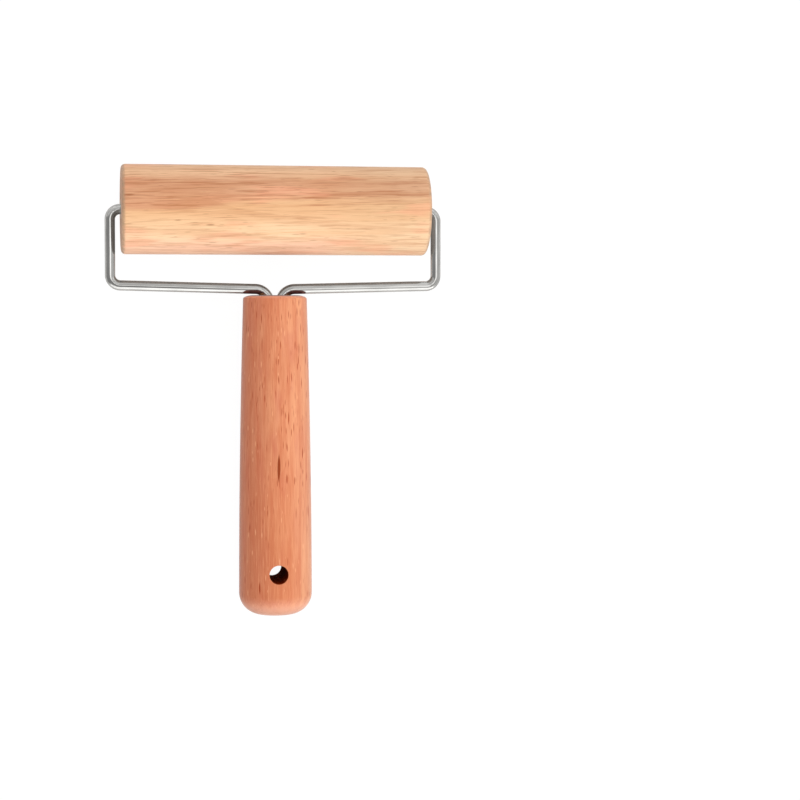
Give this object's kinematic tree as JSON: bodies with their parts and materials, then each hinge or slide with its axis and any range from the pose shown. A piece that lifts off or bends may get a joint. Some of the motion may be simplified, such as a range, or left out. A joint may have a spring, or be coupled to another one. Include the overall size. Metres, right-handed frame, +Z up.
{
  "type": "brayer",
  "caption": "Hand roller: a plain wooden cylinder turns on the stub ends of a bent wire yoke, set in a turned wooden handle with a hanging hole.",
  "frame": {"origin": "on the table under the centre of the whole part's box, as it lies on its roller and on the handle's wide end", "axes": "+X along the roller, +Y from the handle towards the roller, +Z up"},
  "size_m": [0.1324, 0.177, 0.035],
  "materials": {
    "roller_wood": "fine-sanded beech, oiled",
    "handle_wood": "turned reddish beech, oiled",
    "wire_steel": "polished stainless wire",
    "bush_nylon": "plain natural nylon",
    "adhesive": "set amber adhesive"
  },
  "bodies": {
    "frame": {"handle": "handle_wood", "socket_resin": "adhesive", "left_arm": "wire_steel", "right_arm": "wire_steel"},
    "roller": {"roller": "roller_wood", "left_bush": "bush_nylon", "right_bush": "bush_nylon"}
  },
  "joints": [
    {"name": "roller_spin", "type": "hinge", "parent": "frame", "child": "roller", "pos_m": [0, 0.07095, 0.0175], "axis": [1, 0, 0], "continuous": true}
  ]
}
